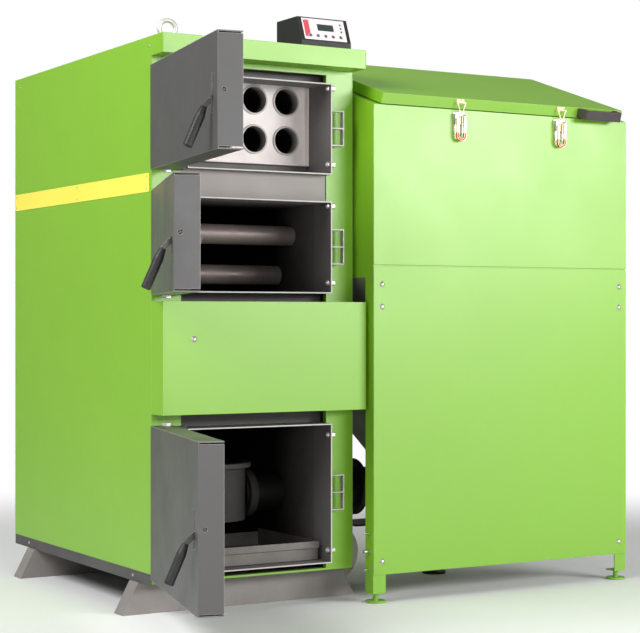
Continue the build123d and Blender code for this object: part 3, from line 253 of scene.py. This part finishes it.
def neck_edges(tree, colour):
    """Bright front edges of the necks and the grey bridge plate, by their place."""
    split = axes(tree)
    front_edge = math_node(tree, "LESS_THAN", split.outputs["Y"], neck_front)
    out = mix_node(tree, front_edge, colour, ground_steel)
    above = math_node(tree, "GREATER_THAN", split.outputs["Z"], bridge_low)
    below = math_node(tree, "LESS_THAN", split.outputs["Z"], bridge_high)
    behind = math_node(tree, "GREATER_THAN", split.outputs["Y"], bridge_front)
    before = math_node(tree, "LESS_THAN", split.outputs["Y"], bridge_back)
    share = math_node(tree, "MULTIPLY", math_node(tree, "MULTIPLY", above, below),
                      math_node(tree, "MULTIPLY", behind, before))
    return mix_node(tree, share, out, bridge_grey)


neck_black = surface("heatproof_black", paint(104, 102, 101), patch_colour=paint(116, 111, 106),
                     patch_amount=0.4, patch_scale=9.0, grain_scale=700, roughness=0.55, spread=0.2,
                     bump=0.3, edge_colour=paint(96, 92, 88), edge_amount=0.35, edge_width=0.0015,
                     extra=neck_edges)
dress(neck_black, "vessel_front")


# Fire chambers: the welded plates of the firebox and the water vessel, and the burner pot. Plain
# boiler steel, sooted dull, and painted darker to the back as shade deep in the chambers.

# Painted shade: the chambers' plates turn to this black between these two depths behind the front.
chamber_back_shade = paint(13, 12, 12)
shade_starts_at = -0.06
black_from = 0.2


def blacken(tree, colour, near, far, black):
    """A colour that turns black between two depths behind the front."""
    depth = node(tree, "ShaderNodeMapRange", in_From_Min=near, in_From_Max=far)
    tree.links.new(axes(tree).outputs["Y"], depth.inputs["Value"])
    return mix_node(tree, depth.outputs[0], colour, black)


def chamber_depth_shade(tree, colour):
    """The fire chambers' walls are painted blacker to the back, as shade deep inside."""
    return blacken(tree, colour, shade_starts_at, black_from, chamber_back_shade)


shaded_sooty_plate = surface("sooted_plate_painted_shade", paint(104, 102, 101), patch_colour=paint(92, 88, 85), patch_amount=0.5,
                patch_scale=12.0, grain_scale=500, roughness=0.9, spread=0.1, bump=0.5, gloss=0.12,
                extra=chamber_depth_shade)
dress(shaded_sooty_plate, "firebox", "vessel_shell", "burner_pot")


# Heat exchanger: tube plates and tubes in bare steel with a thin scale, rolled into the plates.
# The cross tubes of the middle chamber are the same pipe. The bores are painted darker with depth, as
# shade.

# Painted shade deep in the bores; the same black is the feeder tube's soot in the fire.
tube_soot_and_shade = paint(14, 13, 12)
tube_black_from = 0.04


def tube_shade(tree, colour):
    """The bores are painted darker with depth, as shade inside them."""
    return blacken(tree, colour, 0.0, tube_black_from, tube_soot_and_shade)


bare_plate = surface("bare_tube_plate", paint(246, 238, 235), patch_colour=paint(216, 206, 200),
                     patch_amount=0.4, patch_scale=14.0, grain_scale=400, roughness=0.45, spread=0.18,
                     bump=0.2, edge_colour=paint(246, 242, 240), edge_amount=0.5)
dress(bare_plate, "tube_plates")
bare_tube = surface("bare_tube", paint(196, 190, 186), patch_colour=paint(120, 110, 100),
                    patch_amount=0.4, patch_scale=20.0, grain_scale=500, roughness=0.42, spread=0.2,
                    bump=0.2, edge_colour=paint(230, 226, 222), edge_amount=0.5, edge_width=0.001,
                    extra=tube_shade)
dress(bare_tube, "fire_tubes")
cross_tube = surface("cross_tube_steel", paint(118, 108, 104), patch_colour=paint(140, 128, 122),
                     patch_amount=0.5, patch_scale=16.0, grain_scale=400, roughness=0.38, spread=0.2,
                     bump=0.3, metallic=0.4)
dress(cross_tube, "cross_tubes")


# Ash drawer: a tray folded from raw sheet that slides on the floor under the burner. Dull grey,
# with ash dust in patches.

drawer_steel = surface("ash_drawer_sheet", paint(120, 116, 112), patch_colour=paint(84, 79, 74),
                       patch_amount=0.6, patch_scale=9.0, grain_scale=500, roughness=0.48, spread=0.2,
                       bump=0.2, edge_colour=paint(170, 166, 160), edge_amount=0.5, metallic=0.4)
dress(drawer_steel, "ash_drawer")


# Doors: folded pans in grey satin paint, a dark insulation board, and a rope seal that lands on
# the neck. The paint is worn to steel along the flanges' edges.

door_paint = surface("grey_door_paint", paint(70, 68, 68), patch_colour=paint(60, 59, 58),
                     patch_amount=0.4, patch_scale=5.0, grain_scale=700, roughness=0.38, spread=0.12,
                     bump=0.15, edge_colour=paint(206, 200, 196), edge_amount=0.8, edge_width=0.0024,
                     gloss=1.0)
dress(door_paint, "top_door_skin", "middle_door_skin", "bottom_door_skin")
board = surface("door_board", paint(84, 78, 72), patch_colour=paint(52, 47, 43), patch_amount=0.6,
                patch_scale=11.0, grain_scale=260, roughness=0.85, spread=0.1, bump=0.7)
dress(board, "top_door_board", "middle_door_board", "bottom_door_board")


strand_turn = 0.8
strand_tilt = 0.4
strand_scale = 140.0
strand_gap = 0.25
gap_shade_amount = 0.45
# Painted shade: the gaps between the rope's strands are darkened towards this brown.
gap_shade_brown = paint(92, 84, 74)


def rope_weave(tree, colour):
    """Painted shade in the gaps between the strands of a plaited rope."""
    place = node(tree, "ShaderNodeTexCoord")
    out = colour
    for turn in (strand_turn, -strand_turn):
        turned = node(tree, "ShaderNodeMapping", in_Rotation=(turn, strand_tilt, turn))
        tree.links.new(place.outputs["Object"], turned.inputs["Vector"])
        wave = node(tree, "ShaderNodeTexWave", in_Scale=strand_scale, in_Distortion=1.0)
        tree.links.new(turned.outputs[0], wave.inputs["Vector"])
        gap = math_node(tree, "LESS_THAN", wave.outputs["Fac"], strand_gap)
        out = mix_node(tree, math_node(tree, "MULTIPLY", gap, gap_shade_amount), out, gap_shade_brown)
    return out


rope = surface("seal_rope", paint(186, 178, 164), patch_colour=paint(150, 138, 122), patch_amount=0.5,
               patch_scale=30.0, grain_scale=1500, roughness=0.9, spread=0.05, bump=0.8,
               extra=rope_weave)


def finish_piece(name, mesh_data, material, body, smooth=True):
    """A bmesh becomes a named piece that rides on a body."""
    mesh = bpy.data.meshes.new(name)
    mesh_data.to_mesh(mesh)
    mesh_data.free()
    mesh.materials.append(material)
    obj = bpy.data.objects.new(name, mesh)
    bpy.context.scene.collection.objects.link(obj)
    for face in mesh.polygons:
        face.use_smooth = smooth
    if smooth:
        mesh.set_sharp_from_angle(angle=math.radians(40))
    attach(obj, body)
    return obj


def draw_on(bm, rim, way):
    """A tube's open rim is drawn on along a way; the new rim is given back."""
    made = bmesh.ops.extrude_edge_only(bm, edges=rim)["geom"]
    verts = [g for g in made if isinstance(g, bmesh.types.BMVert)]
    bmesh.ops.translate(bm, verts=verts, vec=way)
    return [g for g in made if isinstance(g, bmesh.types.BMEdge) and all(v in verts for v in g.verts)]


def bend_on(bm, rim, centre, axis, angle, steps):
    """A tube's open rim is bent on round a centre; the new rim is given back."""
    made = bmesh.ops.spin(bm, geom=rim, cent=centre, axis=axis, angle=angle, steps=steps)
    return [g for g in made["geom_last"] if isinstance(g, bmesh.types.BMEdge)]


hinge_line = Vector((-0.315, -0.160, 0.0))
door_opening = {"top": 100.0, "middle": 110.0, "bottom": 104.5}
neck_heights = {"top": (1.300, 1.577), "middle": (0.940, 1.219), "bottom": (0.123, 0.546)}


def door_matrix(door):
    """From a door's own frame, about its hinge line, to where the door stands at rest."""
    return Matrix.Translation(hinge_line) @ Matrix.Rotation(-math.radians(door_opening[door]), 4, "Z")


seal_left = 0.074
seal_right = 0.556
seal_inset = 0.002
seal_depth = 0.0054
rope_radius = 0.0043
rope_sides = 12
corner = 0.012
corner_steps = 5
for door, (neck_low, neck_high) in neck_heights.items():
    bm = bmesh.new()
    left = seal_left + corner
    right = seal_right - corner
    low = neck_low + seal_inset + corner
    high = neck_high - seal_inset - corner
    start_at = Matrix.Translation((left, seal_depth, low - corner)) @ Matrix.Rotation(math.pi / 2, 4, "Y")
    ring = bmesh.ops.create_circle(bm, segments=rope_sides, radius=rope_radius, matrix=start_at)["verts"]
    rim = list({e for v in ring for e in v.link_edges})
    width = right - left
    height = high - low
    runs = (((width, 0, 0), (right, low)), ((0, 0, height), (right, high)),
            ((-width, 0, 0), (left, high)), ((0, 0, -height), (left, low)))
    for way, (x, z) in runs:
        rim = draw_on(bm, rim, way)
        rim = bend_on(bm, rim, (x, seal_depth, z), (0, -1, 0), math.pi / 2, corner_steps)
    bmesh.ops.remove_doubles(bm, verts=bm.verts, dist=0.0002)
    bmesh.ops.transform(bm, verts=bm.verts, matrix=door_matrix(door))
    bmesh.ops.recalc_face_normals(bm, faces=bm.faces)
    seal = finish_piece(door + "_rope_seal", bm, rope, door + "_door")
    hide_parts(door + "_door_seal")


# Door latches: zinc plated flat steel levers that turn on their doors with their pins, and moulded
# black grips with ribs on the levers' ends.

lever_steel = surface("lever_steel", paint(96, 93, 90), patch_colour=paint(66, 63, 60),
                      patch_amount=0.5, patch_scale=40.0, grain_scale=800, roughness=0.34, spread=0.18,
                      bump=0.12, edge_colour=paint(190, 187, 182), edge_amount=0.6, edge_width=0.001,
                      metallic=0.7)
dress(lever_steel, "top_door_lever", "middle_door_lever", "bottom_door_lever")
grip_plastic = surface("grip_plastic", paint(30, 29, 30), patch_colour=paint(46, 44, 44),
                       patch_amount=0.4, patch_scale=40.0, grain_scale=1200, roughness=0.42,
                       spread=0.12, bump=0.3, edge_colour=paint(70, 68, 68), edge_amount=0.3,
                       edge_width=0.001)
grip_length = 0.112
grip_radius = 0.0128
grip_foot = [(0.0, 0.0), (0.0075, 0.0), (0.0084, 0.0012), (0.0125, 0.0265), (grip_radius, 0.0285)]
grip_tip = [(grip_radius, 0.1075), (0.0120, 0.1105), (0.0092, 0.1118), (0.0, grip_length)]
groove_count = 12
groove_start = 0.0310
groove_pitch = 0.0062
groove = [(grip_radius, 0.0), (0.0122, 0.0007), (0.0122, 0.0017), (grip_radius, 0.0024)]
grip_steps = 28
lean = math.radians(23.5)
grip_across = 0.592
lever_face = 0.043
grip_out = 0.0215
grip_drop = 0.0395
pan_heights = {"top": (1.292, 1.592), "middle": (0.932, 1.232), "bottom": (0.115, 0.557)}
grip_outline = list(grip_foot)
for i in range(groove_count):
    grip_outline += [(across, groove_start + i * groove_pitch + along) for across, along in groove]
grip_outline += grip_tip
for door, (low, high) in pan_heights.items():
    bm = bmesh.new()
    last = None
    for across, along in grip_outline:
        vert = bm.verts.new((across, 0, along))
        if last:
            bm.edges.new((last, vert))
        last = vert
    bmesh.ops.spin(bm, geom=list(bm.verts) + list(bm.edges), cent=(0, 0, 0), axis=(0, 0, 1),
                   angle=2 * math.pi, steps=grip_steps, use_merge=True)
    bmesh.ops.remove_doubles(bm, verts=bm.verts, dist=0.00002)
    down = Vector((0, -math.sin(lean), -math.cos(lean)))
    turn = Vector((0, 0, 1)).rotation_difference(down).to_matrix().to_4x4()
    place = Matrix.Translation((grip_across, -lever_face - grip_out, (low + high) / 2 - grip_drop))
    bmesh.ops.transform(bm, verts=bm.verts, matrix=door_matrix(door) @ place @ turn)
    bmesh.ops.recalc_face_normals(bm, faces=bm.faces)
    grip = finish_piece(door + "_moulded_grip", bm, grip_plastic, door + "_door_latch")
    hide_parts(door + "_door_grip")


# Hinge lugs and keepers: cut and bent steel on the front of the vessel. The lugs are painted dark
# and rubbed bright on their edges, and the keepers are paler.

lug_steel = surface("dark_lug_steel", paint(58, 55, 53), patch_colour=paint(84, 78, 72),
                    patch_amount=0.5, patch_scale=30.0, grain_scale=700, roughness=0.45, spread=0.18,
                    bump=0.2, edge_colour=paint(160, 155, 150), edge_amount=0.6, edge_width=0.001,
                    metallic=0.5)
dress(lug_steel, "hinge_lugs")
keeper_steel = surface("keeper_steel", paint(164, 158, 154), patch_colour=paint(122, 116, 112),
                       patch_amount=0.5, patch_scale=40.0, grain_scale=700, roughness=0.4, spread=0.18,
                       bump=0.15, edge_colour=paint(214, 210, 206), edge_amount=0.6, edge_width=0.001,
                       metallic=0.3)
dress(keeper_steel, "keepers")


# Controller: a dark moulded case on the cover, with a silver foil front: a red column of lamps
# at its left, a display in its middle, five round keys under it and three small ones at its right.

case_plastic = surface("case_plastic", paint(28, 28, 26), patch_colour=paint(22, 22, 20),
                       patch_amount=0.4, patch_scale=12.0, grain_scale=900, roughness=0.5, spread=0.1,
                       bump=0.25, edge_colour=paint(120, 118, 120), edge_amount=0.3, edge_width=0.0012)
dress(case_plastic, "controller_case")
foil = surface("silver_foil", paint(236, 220, 222), patch_colour=paint(220, 206, 210), patch_amount=0.4,
               patch_scale=20.0, grain_scale=900, roughness=0.3, spread=0.08, bump=0.05)
dress(foil, "controller_face")
display_glass = surface("display_glass", paint(52, 66, 60), patch_colour=paint(44, 56, 52),
                        patch_amount=0.4, patch_scale=30.0, grain_scale=200, roughness=0.12,
                        spread=0.03, bump=0.0)
red_foil = surface("red_foil", paint(206, 84, 96), patch_colour=paint(190, 66, 78), patch_amount=0.4,
                   patch_scale=30.0, grain_scale=300, roughness=0.3, spread=0.05, bump=0.0)
key_foil = surface("key_foil", paint(92, 96, 104), patch_colour=paint(80, 84, 92), patch_amount=0.4,
                   patch_scale=60.0, grain_scale=600, roughness=0.35, spread=0.06, bump=0.05)
slope_foot = Vector((0.206, -0.180, 1.697))
slope_run = 0.029
slope_rise = 0.074
slope_length = math.hypot(slope_run, slope_rise)
slope_up = Vector((0, slope_run / slope_length, slope_rise / slope_length))
slope_out = Vector((0, -slope_rise / slope_length, slope_run / slope_length))
slope_place = Matrix((
    (1, slope_up.x, slope_out.x, slope_foot.x), (0, slope_up.y, slope_out.y, slope_foot.y),
    (0, slope_up.z, slope_out.z, slope_foot.z), (0, 0, 0, 1)))
tile_thickness = 0.0008
key_size = 0.0104
key_lift = 0.0009
first_key = -0.0529
key_pitch = 0.02646
small_key_size = 0.0062


def foil_tile(name, material, x, share_up, width, height, lift, rounding):
    """A thin rounded tile on the sloped front, a share of the slope up from its foot."""
    tile = bmesh.new()
    size = Matrix.Diagonal((width, height, tile_thickness, 1))
    place = Matrix.Translation((x, slope_length * share_up, lift))
    bmesh.ops.create_cube(tile, size=1.0, matrix=place @ size)
    uprights = [e for e in tile.edges if abs(e.verts[0].co.z - e.verts[1].co.z) > tile_thickness / 2]
    bmesh.ops.bevel(tile, geom=uprights, offset=rounding, offset_type="OFFSET", segments=4, profile=0.5,
                    affect="EDGES", material=-1)
    bmesh.ops.transform(tile, verts=tile.verts, matrix=slope_place)
    bmesh.ops.recalc_face_normals(tile, faces=tile.faces)
    return finish_piece(name, tile, material, "boiler", smooth=False)


foil_tile("controller_display", display_glass, x=0.0044, share_up=0.58, width=0.056, height=0.022,
          lift=0.0010, rounding=0.001)
foil_tile("controller_lamp_column", red_foil, x=-0.060, share_up=0.52, width=0.018, height=0.056,
          lift=0.0003, rounding=0.002)
for i in range(5):
    foil_tile("controller_key_%d" % i, key_foil, x=first_key + i * key_pitch, share_up=0.22,
              width=key_size, height=key_size, lift=key_lift, rounding=0.0048)
for i in range(3):
    foil_tile("controller_small_key_%d" % i, key_foil, x=0.0588, share_up=0.46 + 0.15 * i,
              width=small_key_size, height=small_key_size, lift=key_lift, rounding=0.0028)


# Lifting eyes: two forged ring bolts, zinc plated and bright, that stand on brackets of the vessel
# and come up through the top cover.

eye_steel = surface("forged_eye", paint(222, 219, 216), patch_colour=paint(176, 172, 168),
                    patch_amount=0.5, patch_scale=40.0, grain_scale=700, roughness=0.34, spread=0.16,
                    bump=0.2, metallic=0.5)
dress(eye_steel, "lifting_eyes")


# Feeder: black painted tube with flanges and a stand, a gearmotor, and the screw inside. The fan
# housing beside it is ivory.

vessel_side = 0.285


def inside_soot(tree, colour):
    """The tube is sooted where it stands in the fire."""
    inside = math_node(tree, "LESS_THAN", axes(tree).outputs["X"], vessel_side)
    return mix_node(tree, inside, colour, tube_soot_and_shade)


feeder_black = surface("feeder_black", paint(38, 37, 37), patch_colour=paint(56, 53, 50),
                       patch_amount=0.4, patch_scale=10.0, grain_scale=600, roughness=0.5, spread=0.16,
                       bump=0.2, edge_colour=paint(104, 100, 96), edge_amount=0.4, gloss=0.3,
                       extra=inside_soot)
dress(feeder_black, "feeder_tube", "gearmotor")
screw_steel = surface("screw_steel", paint(130, 126, 120), patch_colour=paint(94, 88, 80),
                      patch_amount=0.5, patch_scale=30.0, grain_scale=500, roughness=0.4, spread=0.18,
                      bump=0.15, metallic=0.7)
dress(screw_steel, "auger", "impeller")
ivory = surface("ivory_fan_paint", paint(226, 220, 198), patch_colour=paint(206, 198, 172),
                patch_amount=0.4, patch_scale=9.0, grain_scale=700, roughness=0.4, spread=0.12,
                bump=0.12, edge_colour=paint(240, 236, 220), edge_amount=0.3)
dress(ivory, "blower_housing")


# Hopper: a folded bin and lid, a lower front panel and four angle legs in the same green coat as
# the jacket, held by dome bolts, and a funnel in dark grey primed sheet.

dress(green_coat, "hopper_bin", "hopper_front_panel", "hopper_legs", "hopper_lid")
funnel_steel = surface("primed_funnel_sheet", paint(120, 120, 116), patch_colour=paint(98, 98, 94),
                       patch_amount=0.5, patch_scale=6.0, grain_scale=600, roughness=0.45, spread=0.14,
                       bump=0.15, edge_colour=paint(110, 110, 106), edge_amount=0.4, metallic=0.3)
dress(funnel_steel, "hopper_funnel")


# Lid handle: a dark bow of moulded plastic, fixed by its two legs to the skirt of the lid near its
# right corner.

bow_plastic = surface("bow_handle_plastic", paint(62, 54, 52), patch_colour=paint(46, 40, 38),
                      patch_amount=0.4, patch_scale=30.0, grain_scale=900, roughness=0.4, spread=0.1,
                      bump=0.2, edge_colour=paint(96, 88, 84), edge_amount=0.3, edge_width=0.002)
dress(bow_plastic, "lid_handle")


# Toggle latches: yellow passivated steel, with a wire bail hooked on the lid's catch. The foot of
# each lever is a loop dipped in red plastic.

passivated = surface("yellow_passivated_steel", paint(240, 226, 192), patch_colour=paint(206, 178, 132),
                     patch_amount=0.5, patch_scale=90.0, grain_scale=800, roughness=0.3, spread=0.14,
                     bump=0.1, edge_colour=paint(252, 246, 226), edge_amount=0.4, edge_width=0.0006,
                     metallic=0.35)
dress(passivated, "latch_catches", "latch_lever_left", "latch_lever_right", "latch_bail_left",
      "latch_bail_right")
red_grip = surface("red_grip", paint(196, 26, 8), patch_colour=paint(170, 18, 6), patch_amount=0.4,
                   patch_scale=40.0, grain_scale=700, roughness=0.36, spread=0.1, bump=0.15,
                   edge_colour=paint(214, 60, 34), edge_amount=0.3, edge_width=0.001)
loop_radius = 0.0135
loop_steps = 24
loop_foot_y = -0.2345
loop_foot_z = 1.433
latch_middles = {"left": 0.660, "right": 1.054}
dip_radius = 0.0046
dip_sides = 20
dip_height = 0.010
dip_stretch = 1.16
for side, middle in latch_middles.items():
    bm = bmesh.new()
    foot = Vector((middle, loop_foot_y, loop_foot_z))
    start_at = Matrix.Translation(foot + Vector((loop_radius, 0, dip_height)))
    ring = bmesh.ops.create_circle(bm, segments=dip_sides, radius=dip_radius, matrix=start_at)["verts"]
    for vert in ring:
        vert.co.y = foot.y + (vert.co.y - foot.y) * dip_stretch
    rim = list({e for v in ring for e in v.link_edges})
    bmesh.ops.contextual_create(bm, geom=rim)
    rim = draw_on(bm, rim, (0, 0, -dip_height))
    rim = bend_on(bm, rim, foot, (0, 1, 0), math.pi, loop_steps)
    rim = draw_on(bm, rim, (0, 0, dip_height))
    bmesh.ops.contextual_create(bm, geom=rim)
    bmesh.ops.recalc_face_normals(bm, faces=bm.faces)
    finish_piece("latch_red_grip_" + side, bm, red_grip, "latch_lever_" + side)


# Back of the boiler: the flue collar and the two water stubs, cut from bare pipe and welded to the
# vessel.

pipe_steel = surface("bare_pipe", paint(120, 116, 111), patch_colour=paint(92, 84, 76),
                     patch_amount=0.5, patch_scale=12.0, grain_scale=500, roughness=0.45, spread=0.2,
                     bump=0.2, edge_colour=paint(170, 166, 160), edge_amount=0.4, metallic=0.5)
dress(pipe_steel, "flue_outlet", "water_stubs")


# Room: a pale floor that keeps the shadow and turns white further out, a white surround, four soft
# lamps, and the camera at the photo's place.

floor_size = 30.0
floor_drop = 0.0005
floor_pale = (0.9, 0.9, 0.9, 1)
shadow_middle = (0.4, 0.3, 0.0)
shadow_near = 1.6
shadow_far = 3.4
bm = bmesh.new()
bmesh.ops.create_grid(bm, x_segments=1, y_segments=1, size=floor_size)
floor_mesh = bpy.data.meshes.new("floor")
bm.to_mesh(floor_mesh)
bm.free()
floor = bpy.data.objects.new("floor", floor_mesh)
floor.location.z = -floor_drop
bpy.context.scene.collection.objects.link(floor)
floor_material = bpy.data.materials.new("pale_floor")
floor_material.use_nodes = True
floor_shader = floor_material.node_tree.nodes["Principled BSDF"]
floor_shader.inputs["Base Color"].default_value = floor_pale
floor_shader.inputs["Roughness"].default_value = 0.9
tree = floor_material.node_tree
place = node(tree, "ShaderNodeTexCoord")
away = node(tree, "ShaderNodeVectorMath", operation="DISTANCE")
away.inputs[1].default_value = shadow_middle
tree.links.new(place.outputs["Object"], away.inputs[0])
far = node(tree, "ShaderNodeMapRange", interpolation_type="SMOOTHSTEP",
           in_From_Min=shadow_near, in_From_Max=shadow_far)
tree.links.new(away.outputs["Value"], far.inputs["Value"])
path = node(tree, "ShaderNodeLightPath")
share = math_node(tree, "MULTIPLY", far.outputs[0], path.outputs["Is Camera Ray"])
white = node(tree, "ShaderNodeEmission", in_Color=(1, 1, 1, 1), in_Strength=1.0)
blend = node(tree, "ShaderNodeMixShader")
tree.links.new(share, blend.inputs[0])
tree.links.new(floor_shader.outputs[0], blend.inputs[1])
tree.links.new(white.outputs[0], blend.inputs[2])
tree.links.new(blend.outputs[0], tree.nodes["Material Output"].inputs["Surface"])
floor_mesh.materials.append(floor_material)

room_light = 0.30
world = bpy.data.worlds.new("studio")
bpy.context.scene.world = world
world.use_nodes = True
tree = world.node_tree
background = tree.nodes["Background"]
background.inputs["Color"].default_value = (1, 1, 1, 1)
path = node(tree, "ShaderNodeLightPath")
seen = math_node(tree, "MAXIMUM", path.outputs["Is Camera Ray"], path.outputs["Is Transmission Ray"])
strength = node(tree, "ShaderNodeMapRange", in_To_Min=room_light, in_To_Max=1.0)
tree.links.new(seen, strength.inputs["Value"])
tree.links.new(strength.outputs[0], background.inputs["Strength"])


def lamp(name, place, target, width, height, power):
    """A rectangular soft lamp that looks at a point."""
    data = bpy.data.lights.new(name, "AREA")
    data.shape = "RECTANGLE"
    data.size = width
    data.size_y = height
    data.energy = power
    obj = bpy.data.objects.new(name, data)
    obj.location = place
    way = Vector(target) - Vector(place)
    obj.rotation_euler = way.to_track_quat("-Z", "Y").to_euler()
    bpy.context.scene.collection.objects.link(obj)


lamp("key_lamp", (3.3, -5.0, 2.1), (0.5, -0.1, 1.2), 3.6, 1.05, 240)
lamp("side_lamp", (-3.9, -1.0, 3.9), (0.0, 0.3, 1.3), 2.4, 2.4, 235)
lamp("top_lamp", (0.4, 0.3, 4.6), (0.4, 0.2, 0.0), 3.0, 3.0, 12)
lamp("chamber_lamp", (-1.3, -5.6, 1.5), (0.0, 0.0, 0.9), 0.8, 0.8, 45)

sensor_width = 36.0
photo_width_pixels = 640
focal_length_pixels = 1731.5
camera_turn = -0.53073
camera_data = bpy.data.cameras.new("camera")
camera_data.sensor_width = sensor_width
camera_data.lens = focal_length_pixels / photo_width_pixels * sensor_width
camera_data.clip_end = 100
camera = bpy.data.objects.new("camera", camera_data)
camera.location = (-2.4465, -4.6597, 0.8704)
camera.rotation_euler = (math.pi / 2, 0, camera_turn)
bpy.context.scene.collection.objects.link(camera)
bpy.context.scene.camera = camera
bpy.context.scene.view_settings.view_transform = "Standard"
